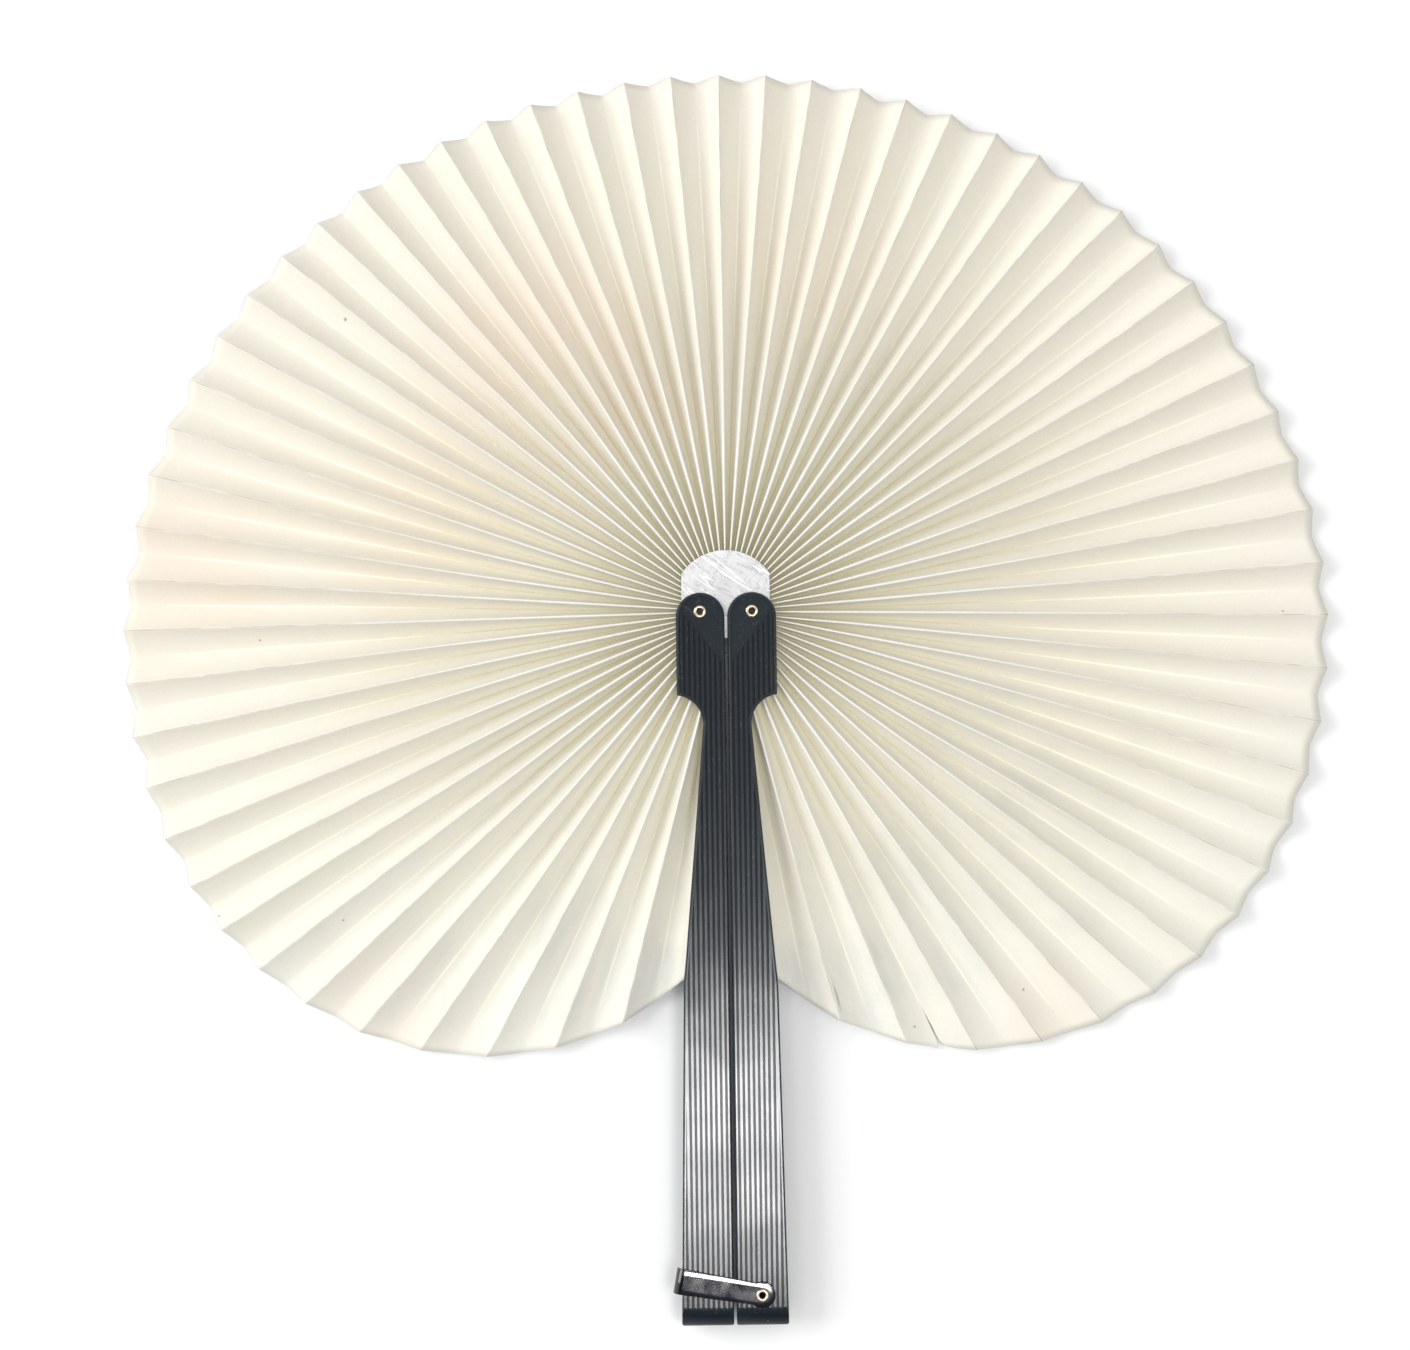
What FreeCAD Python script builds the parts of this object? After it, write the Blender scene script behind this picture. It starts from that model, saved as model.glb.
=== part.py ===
import FreeCAD, Part
import math
import os
import Sketcher

# Driving sizes of the pleated pocket fan, in millimetres and degrees
SIZES = {
    # Plastic arms: each one ribbed strip, folded in a U at its foot
    "case_depth": 9.0,  # front face to back face of the folded strip
    "strip_wall": 0.9,
    "arm_gap": 0.6,  # between the two arms, side by side
    "arm_length": 148.7,  # pivot line to the end of the foot
    "head_width": 10.1,
    "head_arc_drop": 1.15,  # centre of the round head, below the pivot line
    "shoulder_drop": 17.3,
    "neck_drop": 23.4,
    "neck_width": 4.7,
    "cove_radius": 6.1,
    "knee_drop": 78.0,  # where the outer edge turns to a slower taper
    "knee_width": 9.5,
    "foot_width": 10.8,
    "foot_corner": 0.9,
    "edge_bevel": 0.35,
    # Ribs of the arms, left standing between grooves
    "groove_pitch": 1.07,
    "groove_width": 0.5,
    "groove_depth": 0.3,
    "groove_inset": 0.72,  # first groove, from the inner edge
    "smooth_border": 0.65,  # plain rim all round the ribbed field
    "smooth_foot": 4.2,  # plain bend at the foot
    "smooth_inner_drop": 11.5,  # the plain head ends on a slant, low at the inner edge
    "smooth_outer_rise": 1.5,  # and high at the outer edge
    "head_recess": 0.25,
    # Hollow eyelets
    "pivot_spacing": 10.8,
    "barrel_radius": 0.95,
    "bore_radius": 0.65,
    "flange_radius": 1.3,
    "flange_height": 0.24,
    "pivot_clearance": 0.05,
    # Round-topped metal plates over both sides of the hub
    "plate_width": 18.3,
    "plate_top": 12.7,
    "plate_shoulder": 7.8,
    "plate_crown_radius": 11.0,
    "plate_foot": 5.5,
    "plate_foot_corner": 2.5,
    "plate_thickness": 0.3,
    "plate_play": 0.05,  # plate to arm, and plate to leaf
    # Pleated paper leaf
    "leaf_top_radius": 112.0,
    "leaf_side_radius": 126.5,
    "leaf_end_radius": 70.5,
    "leaf_side_angle": 107.0,  # from the top fold to the widest part of a lobe
    "leaf_end_gap_angle": 3.3,  # from the centre line to the leaf's end, inside an arm
    "lobe_curve": 2.15,  # how late the lobe's edge turns in towards the arm
    "leaf_hub_radius": 7.4,
    "paper_thickness": 0.18,
    "pleat_opening": 0.873,  # share of its own width that a pleat side spans at the widest part
    "end_spread": 12.25,  # degrees that the last pleats gain over an even spread
    "end_spread_start": 0.738,  # where that gain starts, as a share of the pleats
    "flattest_pleat": 0.9,  # height that a pulled-out pleat keeps
    "rim_clearance": 1.0,  # valley folds at the rim, above the table
    "arm_pleat_level": 0.7,  # how far the last pleats rise from the table to the arms' middle
    "arm_pleat_angle": 175.0,  # where they have risen that far
    "valley_dip": 0.9,  # a valley fold ends this much short of its neighbours at the rim
    "valley_dip_lobe": 0.2,
    "lobe_angle": 150.0,  # where that dip has faded and the rise to the arms begins
    # Tear in the right lobe, along a valley fold
    "tear_angle": 154.1,
    "tear_start_radius": 92.1,
    "tear_bend_radius": 99.7,
    "tear_slit_width": 0.4,
    "tear_mouth_width": 2.3,
    "tear_mouth_length": 4.14,  # over which the slit opens to the mouth
    # Thread that gathers the pleats round the hub
    "thread_inset": 1.6,
    "thread_radius": 0.25,
    # Swing clasp on the right arm's foot
    "clasp_inset": 5.3,  # its eyelet, from the arm's inner edge
    "clasp_rise": 7.0,  # its eyelet, above the end of the foot
    "clasp_tilt": 10.0,  # its hooked end stands this much higher than level
    "clasp_thickness": 0.4,
    "clasp_play": 0.05,
    "clasp_boss_radius": 2.75,
    "clasp_neck_width": 4.4,
    "clasp_tip_width": 5.4,
    "curl_radius": 1.25,  # inside of the hooked end
    "hook_clearance": 1.2,  # curl to the left arm's outer edge, with the clasp level
}

RIM_STATIONS = (0.0, 0.3, 0.65, 1.0)  # shares of a fold line where the paper bends

doc = FreeCAD.newDocument("PleatedFan")
sheet = doc.addObject("Spreadsheet::Sheet", "Sizes")
for row, (alias, number) in enumerate(SIZES.items(), start=1):
    sheet.set(f"A{row}", alias)
    sheet.set(f"B{row}", str(number))
    sheet.setAlias(f"B{row}", alias)
doc.recompute()

# The origin lies on the table under the middle of the open fan, and this is the pivot line's place
HUB_Y = "(Sizes.arm_length - Sizes.leaf_top_radius) / 2"
INNER_X = "Sizes.arm_gap / 2"
PIVOT_X = "Sizes.pivot_spacing / 2"
CLASP_X = f"({INNER_X} + Sizes.clasp_inset)"
CLASP_Y = "(Sizes.clasp_rise - Sizes.arm_length)"
CLASP_UNDERSIDE = "(Sizes.case_depth + Sizes.clasp_play)"
HEAD_X = f"({INNER_X} + Sizes.head_width)"
BEND_Y = "(Sizes.case_depth / 2 - Sizes.arm_length)"
FULL_LENGTH = "(Sizes.arm_length + Sizes.head_width)"
HOLE_RADIUS = "Sizes.barrel_radius + Sizes.pivot_clearance"
PLEAT_DEPTH = (
    "Sizes.case_depth - 2 * (Sizes.strip_wall + Sizes.plate_thickness + 2 * Sizes.plate_play)"
)

YZ_PLANE = FreeCAD.Rotation(FreeCAD.Vector(1, 1, 1), 120)
XZ_PLANE = FreeCAD.Rotation(FreeCAD.Vector(1, 0, 0), 90)


def size(formula):
    """The number that a formula of the sheet gives."""
    return float(sheet.evalExpression(formula))


def bind(thing, **formulas):
    """Ties properties of an object to formulas of the sheet. A double underscore stands for a dot."""
    for name, formula in formulas.items():
        thing.setExpression(name.replace("__", "."), formula)
    return thing


def arc_between(start, end, radius, turn):
    """The short arc from start to end. turn is 1 for an anticlockwise arc and -1 for a clockwise one."""
    chord = end.sub(start)
    side = FreeCAD.Vector(-chord.y, chord.x, 0).normalize()
    rise = math.sqrt(max(radius**2 - (chord.Length / 2) ** 2, 0.0))
    centre = start.add(chord.multiply(0.5)).add(side.multiply(turn * rise))
    first, last = (start, end) if turn > 0 else (end, start)
    angles = [math.atan2(point.y - centre.y, point.x - centre.x) for point in (first, last)]
    circle = Part.Circle(centre, FreeCAD.Vector(0, 0, 1), radius)
    return Part.ArcOfCircle(circle, angles[0], angles[1])


def outline(name, corners, arcs=None, owner=doc, rotation=None):
    """A closed sketch through corners, pairs of formulas. arcs maps the corner that an arc leaves to
    the arc's radius formula and turn."""
    arcs = arcs or {}
    if owner is doc:
        sketch = doc.addObject("Sketcher::SketchObject", name)
    else:
        sketch = owner.newObject("Sketcher::SketchObject", name)
    if rotation:
        sketch.Placement = FreeCAD.Placement(FreeCAD.Vector(), rotation)
    points = [FreeCAD.Vector(size(x), size(y), 0) for x, y in corners]
    count = len(corners)
    begins, ends = {}, {}
    for here in range(count):
        start, end = points[here], points[(here + 1) % count]
        if here in arcs:
            radius, turn = arcs[here]
            edge = sketch.addGeometry(arc_between(start, end, size(radius), turn), False)
            begins[here], ends[here] = (1, 2) if turn > 0 else (2, 1)
        else:
            edge = sketch.addGeometry(Part.LineSegment(start, end), False)
            begins[here], ends[here] = 1, 2
    for here in range(count):
        after = (here + 1) % count
        sketch.addConstraint(
            Sketcher.Constraint("Coincident", here, ends[here], after, begins[after])
        )
    for here, (x, y) in enumerate(corners):
        for kind, formula, value in (
            ("DistanceX", x, points[here].x),
            ("DistanceY", y, points[here].y),
        ):
            rule = Sketcher.Constraint(kind, -1, 1, here, begins[here], value)
            number = sketch.addConstraint(rule)
            sketch.setExpression(f"Constraints[{number}]", formula)
    for here, (radius, turn) in arcs.items():
        number = sketch.addConstraint(Sketcher.Constraint("Radius", here, size(radius)))
        sketch.setExpression(f"Constraints[{number}]", radius)
    return sketch


def prism(name, base, length, symmetric=False):
    """A closed outline, drawn out square to its plane."""
    solid = doc.addObject("Part::Extrusion", name)
    solid.Base = base
    solid.DirMode = "Normal"
    solid.Solid = True
    solid.Symmetric = symmetric
    return bind(solid, LengthFwd=length)


def block(name, length, width, height, x="0", y="0", z="0"):
    box = doc.addObject("Part::Box", name)
    bind(box, Length=length, Width=width, Height=height)
    return bind(box, Placement__Base__x=x, Placement__Base__y=y, Placement__Base__z=z)


def disc(name, radius, height, x="0", y="0", z="0"):
    cylinder = doc.addObject("Part::Cylinder", name)
    bind(cylinder, Radius=radius, Height=height)
    return bind(cylinder, Placement__Base__x=x, Placement__Base__y=y, Placement__Base__z=z)


def shared(name, shapes):
    both = doc.addObject("Part::MultiCommon", name)
    both.Shapes = shapes
    return both


def together(name, shapes):
    group = doc.addObject("Part::Compound", name)
    group.Links = shapes
    return group


def cut(name, base, tool):
    result = doc.addObject("Part::Cut", name)
    result.Base = base
    result.Tool = tool
    return result


def folded_arm():
    """The right-hand arm without its clasp: a plan outline cut from a strip folded in a U."""
    plan = outline(
        "arm_outline",
        [
            (INNER_X, "-Sizes.head_arc_drop"),
            (INNER_X, "Sizes.foot_corner - Sizes.arm_length"),
            (f"{INNER_X} + Sizes.foot_corner", "-Sizes.arm_length"),
            (f"{INNER_X} + Sizes.foot_width - Sizes.foot_corner", "-Sizes.arm_length"),
            (f"{INNER_X} + Sizes.foot_width", "Sizes.foot_corner - Sizes.arm_length"),
            (f"{INNER_X} + Sizes.knee_width", "-Sizes.knee_drop"),
            (f"{INNER_X} + Sizes.neck_width", "-Sizes.neck_drop"),
            (HEAD_X, "-Sizes.shoulder_drop"),
            (HEAD_X, "-Sizes.head_arc_drop"),
            (f"{INNER_X} + Sizes.head_width / 2", "Sizes.head_width / 2 - Sizes.head_arc_drop"),
        ],
        {
            1: ("Sizes.foot_corner", 1),
            3: ("Sizes.foot_corner", 1),
            6: ("Sizes.cove_radius", -1),
            8: ("Sizes.head_width / 2", 1),
            9: ("Sizes.head_width / 2", 1),
        },
    )
    side = outline(
        "folded_strip_side",
        [
            (FULL_LENGTH, "Sizes.case_depth"),
            (BEND_Y, "Sizes.case_depth"),
            ("-Sizes.arm_length", "Sizes.case_depth / 2"),
            (BEND_Y, "0"),
            (FULL_LENGTH, "0"),
            (FULL_LENGTH, "Sizes.strip_wall"),
            (BEND_Y, "Sizes.strip_wall"),
            ("Sizes.strip_wall - Sizes.arm_length", "Sizes.case_depth / 2"),
            (BEND_Y, "Sizes.case_depth - Sizes.strip_wall"),
            (FULL_LENGTH, "Sizes.case_depth - Sizes.strip_wall"),
        ],
        {
            1: ("Sizes.case_depth / 2", 1),
            2: ("Sizes.case_depth / 2", 1),
            6: ("Sizes.case_depth / 2 - Sizes.strip_wall", -1),
            7: ("Sizes.case_depth / 2 - Sizes.strip_wall", -1),
        },
        rotation=YZ_PLANE,
    )
    plan_prism = prism("arm_plan", plan, "Sizes.case_depth")
    strip = prism("folded_strip", side, "2 * Sizes.foot_width")
    doc.recompute()

    # Bevel along the outside edges of the front and back faces
    bevelled = doc.addObject("Part::Chamfer", "arm_bevel")
    bevelled.Base = plan_prism
    levels = (0.0, size("Sizes.case_depth"))
    bevel = size("Sizes.edge_bevel")
    bevelled.Edges = [
        (number, bevel, bevel)
        for number, edge in enumerate(plan_prism.Shape.Edges, start=1)
        if any(abs(vertex.Z - level) < 1e-6 for level in levels for vertex in edge.Vertexes)
        and edge.BoundBox.ZLength < 1e-6
    ]
    blank = shared("arm_blank", [strip, bevelled])
    return cut("ribbed_arm", blank, together("arm_relief", arm_relief(plan)))


def arm_relief(plan):
    """What the mould leaves out of an arm's faces: grooves, a plain recessed head and the pivot hole."""
    inside = doc.addObject("Part::Offset2D", "relief_outline")
    inside.Source = plan
    inside.Join = 2
    bind(inside, Value="-Sizes.smooth_border")
    field = prism("relief_field", inside, "Sizes.case_depth")
    slant = [
        (HEAD_X, "Sizes.smooth_outer_rise"),
        (INNER_X, "-Sizes.smooth_inner_drop"),
    ]
    foot_y = "Sizes.smooth_foot - Sizes.arm_length"
    foot_x = f"{INNER_X} + Sizes.foot_width"
    ribbed = outline(
        "ribbed_zone", [(INNER_X, foot_y), (foot_x, foot_y), (foot_x, "-Sizes.knee_drop")] + slant
    )
    head = outline(
        "head_zone", slant[::-1] + [(HEAD_X, "Sizes.head_width"), (INNER_X, "Sizes.head_width")]
    )
    faces = (
        ("front", "Sizes.case_depth - Sizes.groove_depth", "Sizes.case_depth - Sizes.head_recess"),
        ("back", "0", "0"),
    )
    bars, slabs = [], []
    count = int(size("(Sizes.foot_width - Sizes.groove_inset) / Sizes.groove_pitch")) + 1
    for face, groove_z, slab_z in faces:
        for number in range(count):
            bars.append(
                block(
                    f"groove_{face}_{number + 1}",
                    "Sizes.groove_width",
                    FULL_LENGTH,
                    "Sizes.groove_depth",
                    x=f"{INNER_X} + Sizes.groove_inset + {number} * Sizes.groove_pitch",
                    y="-Sizes.arm_length",
                    z=groove_z,
                )
            )
        slabs.append(
            block(
                f"head_recess_{face}", HEAD_X, FULL_LENGTH, "Sizes.head_recess",
                y="-Sizes.arm_length", z=slab_z,
            )
        )
    ribbed_prism = prism("ribbed_zone_prism", ribbed, "Sizes.case_depth")
    head_prism = prism("head_zone_prism", head, "Sizes.case_depth")
    return [
        shared("grooves", [together("groove_bars", bars), field, ribbed_prism]),
        shared("head_recesses", [together("recess_slabs", slabs), field, head_prism]),
        disc("pivot_hole", HOLE_RADIUS, "Sizes.case_depth", x=PIVOT_X),
    ]


def both_arms():
    """The left arm mirrors the right one, which also has the hole of the clasp's eyelet."""
    arm = folded_arm()
    left = doc.addObject("Part::Mirroring", "left_arm")
    left.Source = arm
    left.Normal = FreeCAD.Vector(1, 0, 0)
    hole = disc(
        "clasp_hole", HOLE_RADIUS, "Sizes.case_depth / 2",
        x=CLASP_X, y=CLASP_Y, z="Sizes.case_depth / 2",
    )
    right = cut("right_arm", arm, hole)
    return [bind(left, Placement__Base__y=HUB_Y), bind(right, Placement__Base__y=HUB_Y)]


def turned(name, corners, x, y):
    """A closed section through corners, pairs of radius and height, turned about a standing axis."""
    body = doc.addObject("PartDesign::Body", name)
    section = outline(f"{name}_section", corners, owner=body)
    plane = [item for item in body.Origin.OriginFeatures if item.Role == "XZ_Plane"]
    section.AttachmentSupport = [(plane[0], "")]
    section.MapMode = "FlatFace"
    ring = body.newObject("PartDesign::Revolution", f"{name}_turned")
    ring.Profile = section
    ring.ReferenceAxis = (section, ["V_Axis"])
    ring.Angle = 360
    body.Tip = ring
    return bind(body, Placement__Base__x=x, Placement__Base__y=y)


def eyelet(name, low, high, x, y):
    """A hollow eyelet with a bevelled flange under the seat at low and over the seat at high."""
    lip = "Sizes.flange_height"
    bore, barrel, rim = "Sizes.bore_radius", "Sizes.barrel_radius", "Sizes.flange_radius"
    corners = [
        (f"{bore} + {lip}", f"{low} - {lip}"),
        (f"{rim} - {lip}", f"{low} - {lip}"),
        (rim, low),
        (barrel, low),
        (barrel, high),
        (rim, high),
        (f"{rim} - {lip}", f"{high} + {lip}"),
        (f"{bore} + {lip}", f"{high} + {lip}"),
        (bore, high),
        (bore, low),
    ]
    return turned(name, corners, x, y)


def eyelets():
    """Two long eyelets hold the hub and carry the arms; a short one carries the clasp."""
    low, high = "Sizes.head_recess", "Sizes.case_depth - Sizes.head_recess"
    pivots = [
        eyelet("left_pivot_eyelet", low, high, f"-{PIVOT_X}", HUB_Y),
        eyelet("right_pivot_eyelet", low, high, PIVOT_X, HUB_Y),
    ]
    inside = "Sizes.case_depth - Sizes.strip_wall"
    outside = f"{CLASP_UNDERSIDE} + Sizes.clasp_thickness"
    clasp = eyelet("clasp_eyelet", inside, outside, CLASP_X, f"{HUB_Y} + {CLASP_Y}")
    return pivots + [clasp]


def hub_plate(name, z):
    """A thin sheet-metal plate with a round top, pierced for both pivot eyelets."""
    body = doc.addObject("PartDesign::Body", name)
    half, foot, corner = "Sizes.plate_width / 2", "Sizes.plate_foot", "Sizes.plate_foot_corner"
    plan = outline(
        f"{name}_outline",
        [
            (f"{corner} - {half}", f"-{foot}"),
            (f"{half} - {corner}", f"-{foot}"),
            (half, f"{corner} - {foot}"),
            (half, "Sizes.plate_shoulder"),
            ("0", "Sizes.plate_top"),
            (f"-{half}", "Sizes.plate_shoulder"),
            (f"-{half}", f"{corner} - {foot}"),
        ],
        {
            1: (corner, 1),
            3: ("Sizes.plate_crown_radius", 1),
            4: ("Sizes.plate_crown_radius", 1),
            6: (corner, 1),
        },
        owner=body,
    )
    holes = body.newObject("Sketcher::SketchObject", f"{name}_holes")
    for side in (1, -1):
        centre = FreeCAD.Vector(side * size(PIVOT_X), 0, 0)
        radius = size(HOLE_RADIUS)
        ring = holes.addGeometry(Part.Circle(centre, FreeCAD.Vector(0, 0, 1), radius), False)
        rules = (
            (Sketcher.Constraint("DistanceX", -1, 1, ring, 3, centre.x), f"{side} * {PIVOT_X}"),
            (Sketcher.Constraint("DistanceY", -1, 1, ring, 3, 0.0), None),
            (Sketcher.Constraint("Radius", ring, radius), HOLE_RADIUS),
        )
        for rule, formula in rules:
            number = holes.addConstraint(rule)
            if formula:
                holes.setExpression(f"Constraints[{number}]", formula)
    plane = [item for item in body.Origin.OriginFeatures if item.Role == "XY_Plane"]
    for sketch in (plan, holes):
        sketch.AttachmentSupport = [(plane[0], "")]
        sketch.MapMode = "FlatFace"
    pad = body.newObject("PartDesign::Pad", f"{name}_sheet")
    pad.Profile = plan
    bind(pad, Length="Sizes.plate_thickness")
    pocket = body.newObject("PartDesign::Pocket", f"{name}_pierced")
    pocket.Profile = holes
    pocket.Type = "ThroughAll"
    pocket.Midplane = True
    body.Tip = pocket
    return bind(body, Placement__Base__y=HUB_Y, Placement__Base__z=z)


def hub_plates():
    low = "Sizes.strip_wall + Sizes.plate_play"
    high = f"Sizes.case_depth - {low.replace('+', '-')} - Sizes.plate_thickness"
    return [hub_plate("front_plate", high), hub_plate("back_plate", low)]


def eased(value, start, end):
    """0 up to start, 1 from end on, and a smooth step between."""
    share = min(max((value - start) / (end - start), 0.0), 1.0)
    return share * share * (3 - 2 * share)


def fold_angles():
    """Angles of all fold lines from the top fold, clockwise, with the wide spread beside the arms."""
    end = 180 - size("Sizes.leaf_end_gap_angle")
    spread, start = size("Sizes.end_spread"), size("Sizes.end_spread_start")
    reach = math.radians(end - spread) * size("Sizes.leaf_side_radius")
    per_side = round(reach / (size("Sizes.pleat_opening") * size(PLEAT_DEPTH)))
    angles = []
    for number in range(-per_side, per_side + 1):
        share = abs(number) / per_side
        late = max((share - start) / (1 - start), 0.0)
        angle = (end - spread) * share + spread * late**2
        angles.append(math.copysign(angle, number) if number else 0.0)
    return angles


def rim_radius(angle):
    """Distance from the hub to the leaf's edge: widest at the sides, drawn in towards the arms."""
    side, side_angle = size("Sizes.leaf_side_radius"), size("Sizes.leaf_side_angle")
    top, end = size("Sizes.leaf_top_radius"), size("Sizes.leaf_end_radius")
    if angle <= side_angle:
        return top + (side - top) * (1 - math.cos(math.pi * angle / side_angle)) / 2
    share = (angle - side_angle) / (180 - size("Sizes.leaf_end_gap_angle") - side_angle)
    return side - (side - end) * share ** size("Sizes.lobe_curve")


def fold_points(angle, half_pitch, mountain):
    """Pairs of points, on the upper and the lower side of the paper, down one fold line."""
    width, thickness = size(PLEAT_DEPTH), size("Sizes.paper_thickness")
    middle, hub = size("Sizes.case_depth / 2"), size("Sizes.leaf_hub_radius")
    off_top, lobe_angle = abs(angle), size("Sizes.lobe_angle")
    dip = size("Sizes.valley_dip")
    lobe_share = eased(off_top, size("Sizes.leaf_side_angle"), lobe_angle)
    dip += (size("Sizes.valley_dip_lobe") - dip) * lobe_share
    rim = rim_radius(off_top) - (0 if mountain else dip)

    def pleat_height(radius):
        span = radius * half_pitch
        return math.sqrt(max(width**2 - span**2, size("Sizes.flattest_pleat") ** 2))

    # The valleys lie close to the table, but the last pleats run level between the strips of an arm
    hub_low = middle - pleat_height(hub) / 2
    drop = hub_low - size("Sizes.rim_clearance")
    level = eased(off_top, lobe_angle, size("Sizes.arm_pleat_angle"))
    level *= size("Sizes.arm_pleat_level")
    points = []
    for share in RIM_STATIONS:
        radius = hub + (rim - hub) * share
        span, height = radius * half_pitch, pleat_height(radius)
        # Height of the paper's cut face on a fold, for two sloping sheets that meet there
        slope = span * math.sqrt(span**2 + height**2 - thickness**2) - thickness * height
        face = thickness * slope / (span**2 - thickness**2)
        resting = hub_low - drop * share + height / 2
        centre = resting + (middle - resting) * level
        high = centre + height / 2 if mountain else centre - height / 2 + face
        turn = math.radians(angle)
        x, y = radius * math.sin(turn), radius * math.cos(turn)
        points.append((FreeCAD.Vector(x, y, high), FreeCAD.Vector(x, y, high - face)))
    return points


def triangle(a, b, c):
    return Part.Face(Part.makePolygon([a, b, c, a]))


def quad(a, b, c, d):
    return [triangle(a, b, c), triangle(a, c, d)]


def pleated_sheet():
    """One sheet of paper in constant-width pleats, fanned round the hub: every side of a pleat is a
    warped strip, deep at the hub and nearly flat in the lobes."""
    angles = fold_angles()
    folds = []
    for number, angle in enumerate(angles):
        before, after = angles[max(number - 1, 0)], angles[min(number + 1, len(angles) - 1)]
        neighbours = 2 if 0 < number < len(angles) - 1 else 1
        half_pitch = math.radians(after - before) / neighbours
        mountain = (number - len(angles) // 2) % 2 == 0
        folds.append(fold_points(angle, half_pitch, mountain))
    faces = []
    last = len(RIM_STATIONS) - 1
    for left, right in zip(folds, folds[1:]):
        for inner in range(last):
            for level in (0, 1):
                faces += quad(
                    left[inner][level], left[inner + 1][level],
                    right[inner + 1][level], right[inner][level],
                )
        for end in (0, last):
            faces += quad(left[end][0], right[end][0], right[end][1], left[end][1])
    for fold in (folds[0], folds[-1]):
        for here, there in zip(fold, fold[1:]):
            faces += quad(here[0], there[0], there[1], here[1])
    shell = Part.Compound(faces)
    shell.sewShape()
    solid = Part.Solid(shell.Shells[0])
    if solid.Volume < 0:
        solid.reverse()
    return solid


def paper_leaf():
    """The pleated sheet with the tear that runs in from its lower right edge."""
    sheet_shape = doc.addObject("Part::Feature", "pleated_sheet")
    sheet_shape.Shape = pleated_sheet()
    slit, mouth = "Sizes.tear_slit_width / 2", "Sizes.tear_mouth_width / 2"
    mouth_start = "Sizes.tear_bend_radius + Sizes.tear_mouth_length"
    past_rim = "Sizes.leaf_side_radius"
    tear = outline(
        "tear_outline",
        [
            ("0", "Sizes.tear_start_radius"),
            (slit, "Sizes.tear_bend_radius"),
            (mouth, mouth_start),
            (mouth, past_rim),
            (f"-{mouth}", past_rim),
            (f"-{mouth}", mouth_start),
            (f"-{slit}", "Sizes.tear_bend_radius"),
        ],
    )
    turn = FreeCAD.Rotation(FreeCAD.Vector(0, 0, 1), -size("Sizes.tear_angle"))
    wedge = prism("tear", tear, "Sizes.case_depth")
    wedge.Placement = FreeCAD.Placement(FreeCAD.Vector(), turn)
    leaf = cut("paper_leaf", sheet_shape, wedge)
    return bind(leaf, Placement__Base__y=HUB_Y)


def binding_thread():
    """A ring of thread, four-sided here, through all the pleats and close to their inner ends."""
    corners = [
        (
            f"Sizes.leaf_hub_radius + Sizes.thread_inset + Sizes.thread_radius * cos({turn})",
            f"Sizes.case_depth / 2 + Sizes.thread_radius * sin({turn})",
        )
        for turn in range(0, 360, 90)
    ]
    return turned("binding_thread", corners, "0", HUB_Y)


def clasp():
    """A flat metal strip that swings on its eyelet; its far end curls over the left arm's edge."""
    low, thick = CLASP_UNDERSIDE, "Sizes.clasp_thickness"
    curl = "Sizes.curl_radius"
    reach = f"({CLASP_X} + {INNER_X} + Sizes.foot_width + Sizes.hook_clearance)"
    side = outline(
        "clasp_side",
        [
            ("0", low),
            (f"{reach} - {curl}", low),
            (reach, f"{low} - {curl}"),
            (f"{reach} + {thick}", f"{low} - {curl}"),
            (f"{reach} - {curl}", f"{low} + {thick}"),
            ("0", f"{low} + {thick}"),
        ],
        {1: (curl, -1), 3: (f"{curl} + {thick}", 1)},
        rotation=XZ_PLANE,
    )
    neck, tip = "Sizes.clasp_neck_width / 2", "Sizes.clasp_tip_width / 2"
    end = f"{reach} + {thick}"
    plan = outline(
        "clasp_plan", [("0", f"-{neck}"), (end, f"-{tip}"), (end, tip), ("0", neck)]
    )
    bent = prism("clasp_bent", side, "2 * Sizes.clasp_tip_width", symmetric=True)
    tapered = prism("clasp_tapered", plan, "2 * Sizes.case_depth")
    strip = shared("clasp_strip", [bent, tapered])
    boss = disc("clasp_boss", "Sizes.clasp_boss_radius", thick, z=low)
    whole = doc.addObject("Part::Fuse", "clasp_blank")
    whole.Base = strip
    whole.Tool = boss
    whole.Refine = True
    piece = cut("clasp", whole, disc("clasp_bore", HOLE_RADIUS, "2 * Sizes.case_depth"))
    turn = FreeCAD.Rotation(FreeCAD.Vector(0, 0, 1), 180 - size("Sizes.clasp_tilt"))
    place = FreeCAD.Vector(size(CLASP_X), size(f"{HUB_Y} + {CLASP_Y}"), 0)
    piece.Placement = FreeCAD.Placement(place, turn)
    return piece


pieces = both_arms() + eyelets() + hub_plates()
pieces += [paper_leaf(), binding_thread(), clasp()]
doc.recompute()

for item in doc.Objects:
    if "Invalid" in item.State or "Error" in item.State:
        raise RuntimeError(f"{item.Name} was not built: {item.State}")
for piece in pieces:
    piece.Label = piece.Name
    if piece.Shape.isNull() or not piece.Shape.isValid() or len(piece.Shape.Solids) != 1:
        raise RuntimeError(f"{piece.Label} is not one sound solid")

os.makedirs("parts", exist_ok=True)
for piece in pieces:
    piece.Shape.exportStep(f"parts/{piece.Label}.step")
    box = piece.Shape.BoundBox
    print(
        f"{piece.Label}: volume {piece.Shape.Volume:.2f} mm3,"
        f" x {box.XMin:.2f} to {box.XMax:.2f}, y {box.YMin:.2f} to {box.YMax:.2f},"
        f" z {box.ZMin:.2f} to {box.ZMax:.2f}"
    )
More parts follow.
